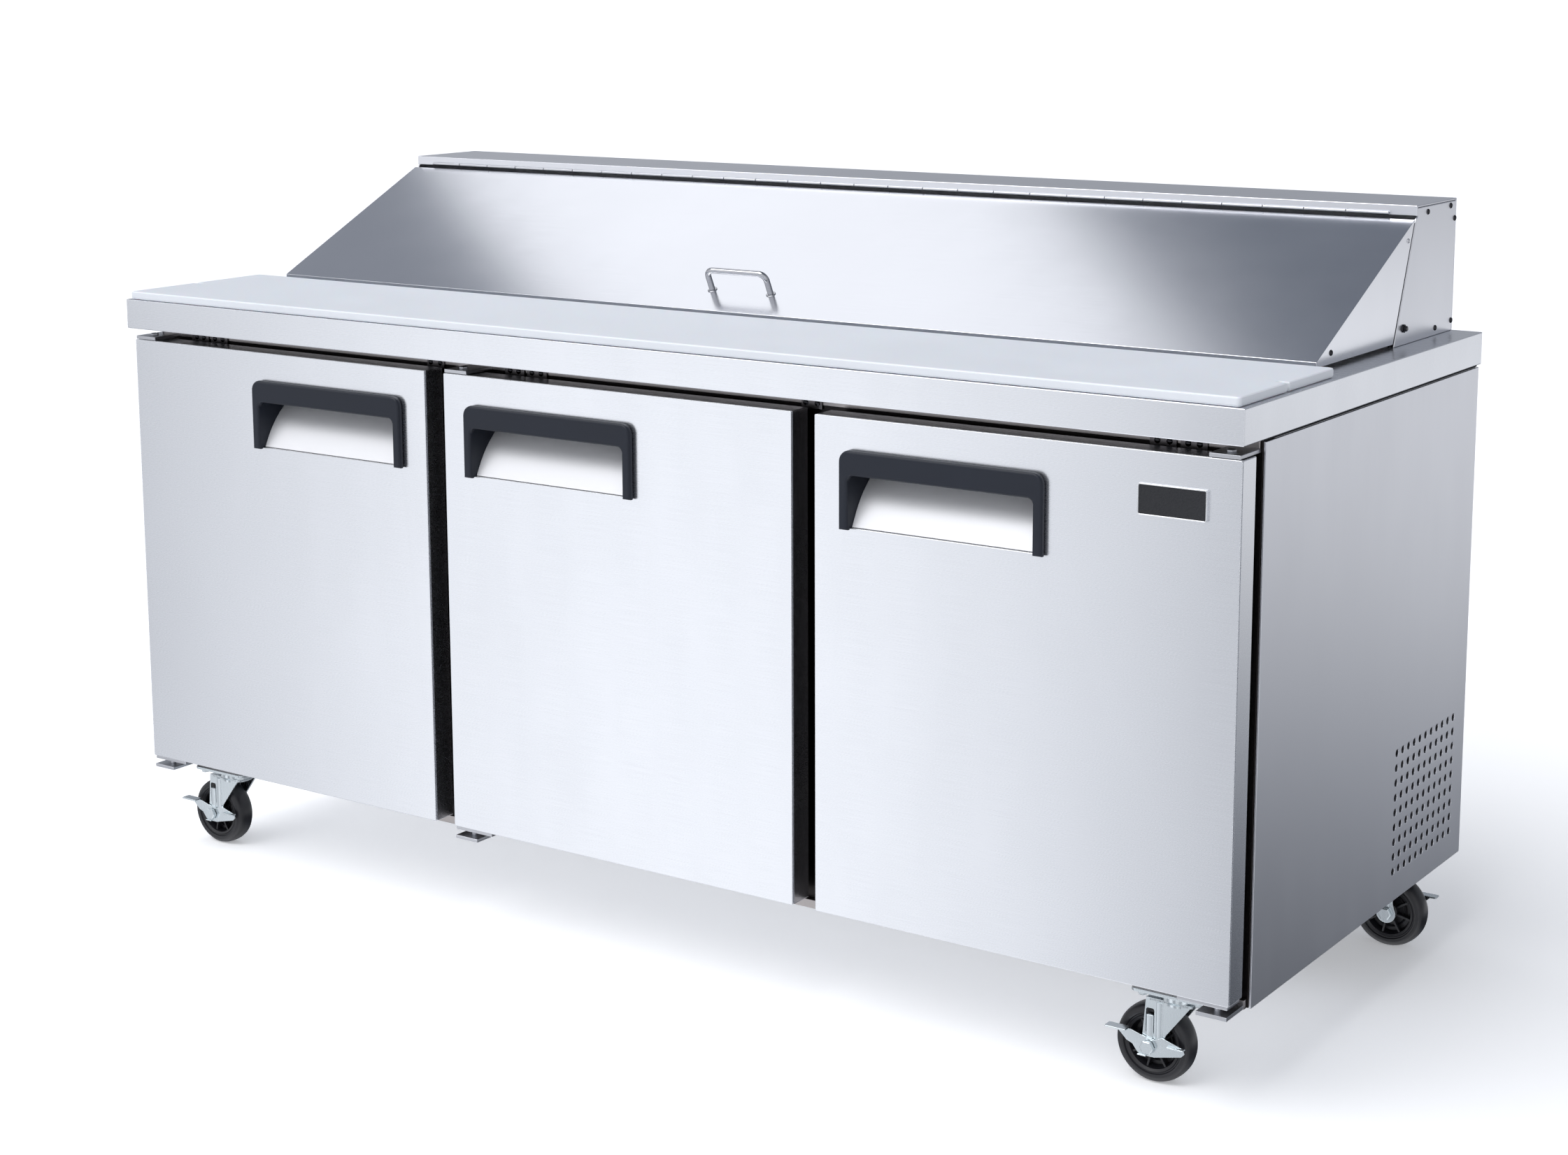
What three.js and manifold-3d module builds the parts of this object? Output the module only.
// Sandwich prep table: a three-door refrigerated counter with a lidded pan well, on four casters.
// Millimetres, +X to the right, +Y to the back, +Z up. The floor is at z = 0.

import * as THREE from 'three';
import { mergeVertices } from 'three/addons/utils/BufferGeometryUtils.js';
import Module from 'manifold-3d';

const wasm = await Module();
wasm.setup();

// ---------------------------------------------------------------- driving dimensions
const width = 1838;             // worktop, left to right
const depth = 760;              // worktop, front to back
const top = 866;                // worktop surface above the floor
const bodyBottom = 130;         // underside of the cabinet, the height of the casters
const doorWidth = 585;
const doorPitch = 620.5;
const hoodHeight = 181;         // top of the hood above the worktop
const lidAngle = THREE.MathUtils.degToRad(26);
const wheelRadius = 51;

const gap = 0.3;                // left between pieces that touch
const sheet = 3;                // folded steel sheet
const through = 5;              // how far a cutting solid runs past what it cuts

const half = width / 2;
const back = (y) => y - depth / 2;      // a distance behind the worktop's front edge
const up = (z) => top + z;              // a height above the worktop

const group = new THREE.Group();

// ---------------------------------------------------------------- colours
const steel = { color: 0xc3c6cc, roughness: 0.32, metalness: 1 };
const darkSteel = { color: 0x8d9097, roughness: 0.4, metalness: 1 };
const liner = { color: 0xd8dade, roughness: 0.45, metalness: 0.8 };
const board = { color: 0xe4e7ee, roughness: 0.55, metalness: 0 };
const blackPlastic = { color: 0x20232c, roughness: 0.55, metalness: 0 };
const gasketBlack = { color: 0x141417, roughness: 0.8, metalness: 0 };
const zinc = { color: 0xb9c3c9, roughness: 0.35, metalness: 1 };
const wheelBlack = { color: 0x17171c, roughness: 0.45, metalness: 0 };
const enamelBlack = { color: 0x1b1b1d, roughness: 0.4, metalness: 0.2 };
const finStock = { color: 0xb4b8bc, roughness: 0.5, metalness: 1 };

// ---------------------------------------------------------------- helpers
function solid(geometry) {
  geometry.deleteAttribute('normal');
  geometry.deleteAttribute('uv');
  const merged = mergeVertices(geometry, 1e-4);
  return new wasm.Manifold(new wasm.Mesh({
    numProp: 3,
    vertProperties: new Float32Array(merged.attributes.position.array),
    triVerts: new Uint32Array(merged.index.array),
  }));
}

function add(name, shape, look) {
  const data = shape.getMesh();
  const geometry = new THREE.BufferGeometry();
  geometry.setAttribute('position', new THREE.BufferAttribute(data.vertProperties, 3));
  geometry.setIndex(new THREE.BufferAttribute(data.triVerts, 1));
  const mesh = new THREE.Mesh(geometry, new THREE.MeshStandardMaterial(look));
  mesh.name = name;
  group.add(mesh);
  return mesh;
}

function join(...shapes) {
  return shapes.reduce((whole, shape) => whole.add(shape));
}

function cut(whole, ...tools) {
  return tools.reduce((rest, tool) => rest.subtract(tool), whole);
}

function block([x0, x1], [y0, y1], [z0, z1]) {
  const geometry = new THREE.BoxGeometry(x1 - x0, y1 - y0, z1 - z0);
  geometry.translate((x0 + x1) / 2, (y0 + y1) / 2, (z0 + z1) / 2);
  return solid(geometry);
}

function outline(points, holes = []) {
  const shape = new THREE.Shape(points.map(([a, b]) => new THREE.Vector2(a, b)));
  for (const hole of holes) {
    shape.holes.push(new THREE.Path(hole.map(([a, b]) => new THREE.Vector2(a, b))));
  }
  return shape;
}

// An outline in (y, z), pulled along x.
function alongX(points, [x0, x1], holes) {
  const geometry = new THREE.ExtrudeGeometry(outline(points, holes), { depth: x1 - x0, bevelEnabled: false });
  geometry.applyMatrix4(new THREE.Matrix4().makeBasis(
    new THREE.Vector3(0, 1, 0), new THREE.Vector3(0, 0, 1), new THREE.Vector3(1, 0, 0)));
  geometry.translate(x0, 0, 0);
  return solid(geometry);
}

// An outline in (x, z), pulled along y.
function alongY(points, [y0, y1]) {
  const geometry = new THREE.ExtrudeGeometry(outline(points), { depth: y1 - y0, bevelEnabled: false });
  geometry.rotateX(Math.PI / 2);
  geometry.translate(0, y1, 0);
  return solid(geometry);
}

function turned(geometry, axis) {
  if (axis === 'x') geometry.rotateZ(-Math.PI / 2);
  if (axis === 'z') geometry.rotateX(Math.PI / 2);
  return geometry;
}

// A cylinder from low to high along an axis, through a point.
function rod(axis, radius, [low, high], [x, y, z], sides = 16) {
  const geometry = turned(new THREE.CylinderGeometry(radius, radius, high - low, sides), axis);
  const middle = { x: [(low + high) / 2, y, z], y: [x, (low + high) / 2, z], z: [x, y, (low + high) / 2] };
  geometry.translate(...middle[axis]);
  return solid(geometry);
}

// A ring of points round a centre.
function ring(cx, cy, radius, sides) {
  return Array.from({ length: sides }, (_, i) => {
    const angle = 2 * Math.PI * i / sides;
    return [cx + radius * Math.cos(angle), cy + radius * Math.sin(angle)];
  });
}

const inset = ([low, high], by) => [low + by, high - by];

// ---------------------------------------------------------------- cabinet
const bodyHalf = half - 2;                  // outside of the side panels
const tubHalf = bodyHalf - sheet - gap;     // outside of the insulated tub
const bodyFront = back(65);                 // front of the door frame
const frameBack = back(95);
const bodyBack = back(756);
const skirtBottom = up(-44);
const panelTop = up(-48);
const tubTop = up(-sheet - gap);
const wall = 45;                            // insulated wall

const doorBottom = up(-717);
const doorTop = up(-62);
const openingOverlap = 32.5;                // how far a door laps the frame at its sides
const openingZ = [doorBottom + openingOverlap, doorTop - 35];

const machine = {                           // the space behind the right door's bay
  x: [300, tubHalf],
  y: [back(500), bodyBack],
  z: [bodyBottom, bodyBottom + 236],
};

const wellHalf = 845;                       // pan opening in the worktop
const wellY = [back(327), back(633)];

const grille = { columns: 11, rows: 9, pitch: 20.4, radius: 5.2, y: back(508), z: up(-694) };

function sidePanel(side, holes) {
  const x = side < 0 ? [-bodyHalf, -bodyHalf + sheet] : [bodyHalf - sheet, bodyHalf];
  const points = [
    [bodyFront, bodyBottom], [bodyBack, bodyBottom],
    [bodyBack, panelTop], [bodyFront, panelTop],
  ];
  return alongX(points, x, holes);
}

function grilleHoles() {
  const holes = [];
  for (let column = 0; column < grille.columns; column++) {
    for (let row = 0; row < grille.rows; row++) {
      holes.push(ring(grille.y + column * grille.pitch, grille.z + row * grille.pitch, grille.radius, 6));
    }
  }
  return holes;
}

function frontFrame() {
  const openings = [-doorPitch, 0, doorPitch].map((x) => block(
    inset([x - doorWidth / 2, x + doorWidth / 2], openingOverlap),
    [bodyFront - through, frameBack + through], openingZ));
  return cut(block([-tubHalf, tubHalf], [bodyFront, frameBack], [bodyBottom, tubTop]), ...openings);
}

const cavity = {
  x: [-tubHalf + wall, tubHalf - wall],
  y: [frameBack, bodyBack - wall],
  z: [bodyBottom + wall, up(-60)],
};

function insulatedTub() {
  const shell = block([-tubHalf, tubHalf], [frameBack + gap, bodyBack], [bodyBottom, tubTop]);
  const hump = block(
    [machine.x[0] - wall, cavity.x[1] + through],
    [machine.y[0] - wall, cavity.y[1] + through],
    [cavity.z[0] - through, machine.z[1] + wall],
  );
  const inside = cut(block(cavity.x, cavity.y, cavity.z), hump);
  const well = block([-wellHalf - sheet, wellHalf + sheet], [wellY[0] - sheet, wellY[1] + sheet],
    [cavity.z[1] - through, tubTop + through]);
  const machineSpace = block([machine.x[0], machine.x[1] + through], [machine.y[0], machine.y[1] + through],
    [machine.z[0] - through, machine.z[1]]);
  return cut(shell, inside, well, machineSpace);
}

function worktop() {
  const outside = block([-half, half], [back(0), back(depth)], [skirtBottom, top]);
  const under = block(inset([-half, half], sheet), inset([back(0), back(depth)], sheet),
    [skirtBottom - through, top - sheet]);
  const well = block([-wellHalf, wellHalf], wellY, [top - sheet - through, top + through]);
  return cut(outside, under, well);
}

// Cutting board: a slot in each end drops over a pin.
function cuttingBoard() {
  const boardHalf = 912;
  const slotDepth = 14;
  const slotY = [back(131), back(138)];
  const z = [top + gap, top + gap + 12];
  const slot = (x) => block([x - slotDepth, x + slotDepth], slotY, [z[0] - 1, z[1] + 1]);
  const slots = [slot(-boardHalf), slot(boardHalf)];
  return cut(block([-boardHalf, boardHalf], [back(2), back(271)], z), ...slots);
}

add('side_panel_left', sidePanel(-1, []), steel);
add('side_panel_right', sidePanel(1, grilleHoles()), steel);
add('front_frame', frontFrame(), steel);
add('insulated_tub', insulatedTub(), liner);
add('worktop', worktop(), steel);
add('cutting_board', cuttingBoard(), board);

// ---------------------------------------------------------------- hood and lid
const hoodHalf = 877;
const hoodFront = back(612);
const lipHeight = 14;
const lidBack = [back(605), up(163)];
const lidFront = back(296);
const lidHem = up(4);                       // underside of the lid above the worktop
const splitFoot = back(543);                // foot of the slanted gap between lid and hood

function hoodCover() {
  const high = up(hoodHeight);
  return alongX([
    [hoodFront, high - lipHeight], [hoodFront, high], [bodyBack, high], [bodyBack, top + gap],
    [bodyBack - sheet, top + gap], [bodyBack - sheet, high - sheet], [hoodFront + sheet, high - sheet],
    [hoodFront + sheet, high - lipHeight],
  ], [-hoodHalf, hoodHalf]);
}

function hoodSide(side) {
  const x = side < 0 ? [-hoodHalf, -hoodHalf + sheet] : [hoodHalf - sheet, hoodHalf];
  const high = up(hoodHeight) - sheet - gap;
  return alongX([
    [splitFoot + 4, top + gap], [bodyBack - sheet - gap, top + gap], [bodyBack - sheet - gap, high],
    [hoodFront + sheet + gap, high], [hoodFront + sheet + gap, up(hoodHeight) - lipHeight - gap],
    [lidBack[0] + 5, lidBack[1]],
  ], x);
}

// A point on the lid: along its slope from the front edge, and below its top face.
function lidPoint(along, below) {
  return [
    lidBack[0] - (lidLength - along) * Math.cos(lidAngle) + below * Math.sin(lidAngle),
    lidBack[1] - (lidLength - along) * Math.sin(lidAngle) - below * Math.cos(lidAngle),
  ];
}

const lidLength = (lidBack[0] - lidFront) / Math.cos(lidAngle);

function lidShell() {
  const slope = alongX([
    lidPoint(0, 0), lidPoint(lidLength, 0), lidPoint(lidLength, sheet), lidPoint(sheet, sheet),
    [lidFront + sheet, lidHem], [lidFront, lidHem],
  ], [-hoodHalf, hoodHalf]);
  const wing = [
    [lidFront + 1, lidHem + 1], [splitFoot, lidHem + 1],
    lidPoint(lidLength - 1, 1), lidPoint(1, 1),
  ];
  const leftWing = alongX(wing, [-hoodHalf, -hoodHalf + sheet]);
  const rightWing = alongX(wing, [hoodHalf - sheet, hoodHalf]);
  return join(slope, leftWing, rightWing);
}

function lidLiner() {
  const thickness = 18;
  const start = 60;
  const end = lidLength - 14;
  const under = sheet + gap;
  return alongX([
    lidPoint(start, under), lidPoint(end, under),
    lidPoint(end, under + thickness), lidPoint(start, under + thickness),
  ], inset([-hoodHalf, hoodHalf], 12));
}

// U-shaped rod handle that stands square off the lid.
function lidHandle() {
  const middle = -20;
  const span = 102;
  const stand = 33;
  const bend = 12;
  const along = 52;
  const point = (x, high) => new THREE.Vector3(x, ...lidPoint(along, -high));
  const left = middle - span / 2;
  const right = middle + span / 2;
  const path = new THREE.CurvePath();
  path.add(new THREE.LineCurve3(point(left, gap), point(left, stand - bend)));
  path.add(new THREE.QuadraticBezierCurve3(
    point(left, stand - bend), point(left, stand), point(left + bend, stand)));
  path.add(new THREE.LineCurve3(point(left + bend, stand), point(right - bend, stand)));
  path.add(new THREE.QuadraticBezierCurve3(
    point(right - bend, stand), point(right, stand), point(right, stand - bend)));
  path.add(new THREE.LineCurve3(point(right, stand - bend), point(right, gap)));
  const section = outline(ring(0, 0, 4.5, 8));
  return solid(new THREE.ExtrudeGeometry(section, { steps: 36, extrudePath: path, bevelEnabled: false }));
}

add('hood_cover', hoodCover(), steel);
add('hood_side_left', hoodSide(-1), steel);
add('hood_side_right', hoodSide(1), steel);
add('lid_shell', lidShell(), steel);
add('lid_liner', lidLiner(), liner);
add('lid_handle', lidHandle(), steel);

// ---------------------------------------------------------------- food pans, three to a frame
function foodPans(middle) {
  const pitch = 187;
  const panHalf = 89.5;
  const panWall = 2;
  const y = [back(330), back(630)];
  const z = [up(-100), top + gap + 2];
  const rimX = [middle - pitch * 1.5 - 3, middle + pitch * 1.5 + 3];
  const rim = block(rimX, [back(318), back(642)], [top + gap, z[1]]);
  const centres = [middle - pitch, middle, middle + pitch];
  const outsides = centres.map((x) => block([x - panHalf, x + panHalf], y, z));
  const insides = centres.map((x) => block(inset([x - panHalf, x + panHalf], panWall), inset(y, panWall),
    [z[0] + panWall, z[1] + through]));
  return cut(join(rim, ...outsides), ...insides);
}

// ---------------------------------------------------------------- wire shelves
// Long wires front to back, sunk a little way into three cross wires below them.
function shelf(middle) {
  const wire = 5;
  const sunk = 1;
  const overhang = 4;
  const halfWide = 262;
  const y = [back(130), back(440)];
  const z = up(-440);
  const spaces = 12;
  const crossWires = 3;
  const bars = [];
  for (let i = 0; i <= spaces; i++) {
    const x = middle - halfWide + overhang + i * (2 * (halfWide - overhang) - wire) / spaces;
    bars.push(block([x, x + wire], y, [z - sunk, z + wire - sunk]));
  }
  for (let i = 0; i < crossWires; i++) {
    const start = y[0] + overhang + i * (y[1] - y[0] - 2 * overhang - wire) / (crossWires - 1);
    bars.push(block([middle - halfWide, middle + halfWide], [start, start + wire], [z - wire, z]));
  }
  return join(...bars);
}

['left', 'middle', 'right'].forEach((side, i) => {
  const place = i - 1;
  add(`food_pans_${side}`, foodPans(place * 568), steel);
  add(`shelf_${side}`, shelf(place * 600), zinc);
});

// ---------------------------------------------------------------- refrigeration
const fanCentre = [back(610), up(-612)];
const trayTop = bodyBottom + sheet;

function compressor() {
  const profile = [[0, 0], [75, 0], [78, 20], [78, 120], [66, 155], [36, 176], [0, 183]];
  const dome = new THREE.LatheGeometry(profile.map(([r, z]) => new THREE.Vector2(r, z)), 20);
  dome.rotateX(Math.PI / 2);
  dome.translate(450, back(628), trayTop + gap);
  return solid(dome);
}

// Coil with the bracket and motor that carry its fan.
function condenser() {
  const coil = block([830, 885], [back(508), back(712)], [trayTop + gap, up(-522)]);
  const arm = block([742, 835], [back(600), back(620)], [up(-534), up(-526)]);
  const strut = block([742, 748], [back(600), back(620)], [fanCentre[1], up(-526)]);
  const motor = rod('x', 28, [742, 786], [0, ...fanCentre]);
  return join(coil, arm, strut, motor);
}

function fan() {
  const hub = rod('x', 18, [786 + gap, 808], [0, ...fanCentre]);
  const blades = [];
  for (let i = 0; i < 4; i++) {
    const blade = new THREE.BoxGeometry(3, 34, 60);
    blade.rotateZ(0.5);
    blade.translate(798, 0, 44);
    blade.rotateX(i * Math.PI / 2);
    blade.translate(0, ...fanCentre);
    blades.push(solid(blade));
  }
  return join(hub, ...blades);
}

const tray = block([machine.x[0] + 2, machine.x[1]], [machine.y[0] + 2, machine.y[1]], [bodyBottom, trayTop]);
add('machine_tray', tray, darkSteel);
add('compressor', compressor(), enamelBlack);
add('condenser', condenser(), finStock);
add('condenser_fan', fan(), blackPlastic);
add('evaporator', block([-300, 300], [back(650), cavity.y[1] - gap], [up(-330), up(-115)]), finStock);

// ---------------------------------------------------------------- doors
const doorFront = back(10);
const doorBack = back(48);
const linerBack = back(50);
const pivotIn = 22;                 // pivot from the door's hinge edge
const pivotY = back(28);
const pinRadius = 4;
const pinHole = 4.6;
const pinLength = 8;

const pullWidth = 290;
const pullInset = 42;               // pull from the door's opening edge
const pullZ = [up(-204), up(-102)];
const pocketBack = back(66);

const doors = [
  { name: 'left', x: -doorPitch, hinge: -1, pull: 1 },
  { name: 'middle', x: 0, hinge: -1, pull: -1 },
  { name: 'right', x: doorPitch, hinge: 1, pull: -1 },
];

function doorSkin(door) {
  const shell = block(door.span, [doorFront, doorBack], [doorBottom, doorTop]);
  const insideY = [doorFront + 2, doorBack + through];
  const inside = block(inset(door.span, 2), insideY, inset([doorBottom, doorTop], 2));
  return cut(shell, inside, door.pocket, door.topHole, door.bottomHole);
}

function doorLiner(door) {
  const coreY = [doorFront + 2 + gap, linerBack];
  const core = block(inset(door.span, 2 + gap), coreY, inset([doorBottom, doorTop], 2 + gap));
  const plug = block(inset(door.span, 48), [linerBack - 1, back(80)], [openingZ[0] + 16, openingZ[1] - 16]);
  return cut(join(core, plug), door.pocket, door.topHole, door.bottomHole);
}

function doorGasket(door) {
  const y = [linerBack + gap, back(64)];
  const z = [doorBottom, doorTop];
  return cut(block(inset(door.span, 14), y, inset(z, 14)),
    block(inset(door.span, 30), [y[0] - through, y[1] + through], inset(z, 30)));
}

// Arch-shaped face with a finger pocket behind it.
function pullFrame(door) {
  const [x0, x1] = door.pullSpan;
  const [z0, z1] = pullZ;
  const corner = 12;
  const leg = 13;
  const bar = 32;
  const face = alongY([
    [x0, z0], [x0 + leg, z0], [x0 + leg, z1 - bar], [x1 - leg, z1 - bar], [x1 - leg, z0], [x1, z0],
    [x1, z1 - corner], [x1 - 0.3 * corner, z1 - 0.3 * corner], [x1 - corner, z1],
    [x0 + corner, z1], [x0 + 0.3 * corner, z1 - 0.3 * corner], [x0, z1 - corner],
  ], [back(0), doorFront - gap]);
  const pocketShell = block([x0 + 7 + gap, x1 - 7 - gap], [back(5), pocketBack], [z0 + 2, z1 - 6]);
  const fingersY = [back(-through), pocketBack - 3];
  const fingers = block(inset(door.pullSpan, leg), fingersY, [z0 - through, z1 - bar]);
  const behindBar = block(inset(door.pullSpan, leg), [back(8), pocketBack - 3], [z0, z1 - 12]);
  return cut(join(face, pocketShell), fingers, behindBar);
}

// Slanted steel panel, slightly crowned, that rises from the pocket's front edge to its back.
function pullScoop(door) {
  const steps = 6;
  const reach = 48;
  const rise = 62;
  const crown = 6;
  const slope = Math.hypot(reach, rise);
  const surface = (depth) => Array.from({ length: steps + 1 }, (_, i) => {
    const t = i / steps;
    const behind = depth - crown * Math.sin(Math.PI * t);
    return [back(12) + reach * t + behind * rise / slope, pullZ[0] + 3 + rise * t - behind * reach / slope];
  });
  return alongX([...surface(0), ...surface(1.5).reverse()], inset(door.pullSpan, 13 + 2 * gap));
}

function hingeBracket(door, z, pin) {
  const plate = block([door.pivot - 20, door.pivot + 20], [doorFront, bodyFront - gap], z);
  return join(plate, rod('z', pinRadius, pin, [door.pivot, pivotY, 0]));
}

for (const door of doors) {
  door.span = [door.x - doorWidth / 2, door.x + doorWidth / 2];
  door.pivot = door.hinge < 0 ? door.span[0] + pivotIn : door.span[1] - pivotIn;
  const pullStart = door.pull < 0 ? door.span[0] + pullInset : door.span[1] - pullInset - pullWidth;
  door.pullSpan = [pullStart, pullStart + pullWidth];
  const pocketY = [doorFront - through, pocketBack + gap];
  door.pocket = block(inset(door.pullSpan, 7), pocketY, [pullZ[0] + 1.5, pullZ[1] - 5.5]);
  door.topHole = rod('z', pinHole, [doorTop - pinLength - 2, doorTop + through], [door.pivot, pivotY, 0]);
  const bottomHoleZ = [doorBottom - through, doorBottom + pinLength + 2];
  door.bottomHole = rod('z', pinHole, bottomHoleZ, [door.pivot, pivotY, 0]);
  add(`door_${door.name}_skin`, doorSkin(door), steel);
  add(`door_${door.name}_liner`, doorLiner(door), liner);
  add(`door_${door.name}_gasket`, doorGasket(door), gasketBlack);
  add(`door_${door.name}_pull_frame`, pullFrame(door), blackPlastic);
  add(`door_${door.name}_pull_scoop`, pullScoop(door), steel);
  const topHinge = hingeBracket(door, [up(-61), up(-56)], [doorTop - pinLength, up(-58)]);
  const bottomHinge = hingeBracket(door, [up(-735), up(-730)], [up(-732), doorBottom + pinLength]);
  add(`hinge_top_${door.name}`, topHinge, darkSteel);
  add(`hinge_bottom_${door.name}`, bottomHinge, darkSteel);
}

// ---------------------------------------------------------------- casters
const trail = 32;
const wheelHalf = 16;
const legOut = 22;                  // outside of a fork leg from the wheel's middle

function casterPlate() {
  const plate = block([-50, 50], [-42, 42], [bodyBottom - gap - 4, bodyBottom - gap]);
  return join(plate, rod('z', 26, [bodyBottom - 16, bodyBottom - 3], [0, 0, 0], 20));
}

// Fork with its axle bolt. The brake turns on the bolt, outside the front leg.
function casterFork() {
  const high = bodyBottom - 16 - gap;
  const leg = [
    [-38, high], [24, high], [24, high - 10],
    [-trail + 14, wheelRadius], [-trail + 10, wheelRadius - 11],
    [-trail - 10, wheelRadius - 11], [-trail - 14, wheelRadius],
  ];
  const topPlate = block([-38, 24], [-legOut, legOut], [high - 4, high]);
  const front = alongY(leg, [-legOut, -legOut + 3]);
  const rear = alongY(leg, [legOut - 3, legOut]);
  const axle = rod('y', 5, [-legOut - 7, legOut + 3], [-trail, 0, wheelRadius]);
  const head = rod('y', 9, [-legOut - 9, -legOut - 4], [-trail, 0, wheelRadius], 6);
  const nut = rod('y', 9, [legOut - 1, legOut + 6], [-trail, 0, wheelRadius], 6);
  return join(topPlate, front, rear, axle, head, nut);
}

function casterWheel() {
  const r = wheelRadius;
  const profile = [[5.5, -12], [12, -12], [12, -9], [36, -9], [36, -15], [44, -wheelHalf], [r, -9],
    [r, 9], [44, wheelHalf], [36, 15], [36, 9], [12, 9], [12, 12], [5.5, 12], [5.5, -12]];
  const tyre = new THREE.LatheGeometry(profile.map(([x, y]) => new THREE.Vector2(x, y)), 24);
  tyre.translate(-trail, 0, r);
  return solid(tyre);
}

// Side brake: a rocking lever with a foot tab at one end and a release tab at the other.
function casterBrake() {
  const y = [-legOut - 3.4, -legOut - gap];
  const z = wheelRadius;
  const lever = alongY([
    [-trail - 50, z + 20], [-trail - 22, z + 16], [-trail, z + 12],
    [-trail + 16, z + 14], [-trail + 48, z + 6],
    [-trail + 46, z - 3], [-trail + 8, z - 13], [-trail - 12, z - 12], [-trail - 24, z],
  ], y);
  const footTab = block([-trail - 56, -trail - 26], [y[0] - 12, y[1]], [z + 17, z + 20]);
  const releaseTab = block([-trail + 28, -trail + 50], [y[0] - 5, y[1]], [z + 4, z + 7]);
  const hole = rod('y', 5.6, [y[0] - 1, y[1] + 1], [-trail, 0, z]);
  return cut(join(lever, footTab, releaseTab), hole);
}

const casterHalf = 815;
const casters = [
  { name: 'front_left', x: -casterHalf, y: back(90), turn: 0 },
  { name: 'front_right', x: casterHalf, y: back(90), turn: 0 },
  { name: 'rear_left', x: -casterHalf, y: back(690), turn: Math.PI },
  { name: 'rear_right', x: casterHalf, y: back(690), turn: Math.PI },
];

const casterPieces = [
  ['plate', casterPlate, zinc],
  ['fork', casterFork, zinc],
  ['wheel', casterWheel, wheelBlack],
  ['brake', casterBrake, zinc],
];

for (const { name, x, y, turn } of casters) {
  for (const [piece, make, look] of casterPieces) {
    const mesh = add(`caster_${name}_${piece}`, make(), look);
    mesh.rotation.z = turn;
    mesh.position.set(x, y, 0);
  }
}

export default group;
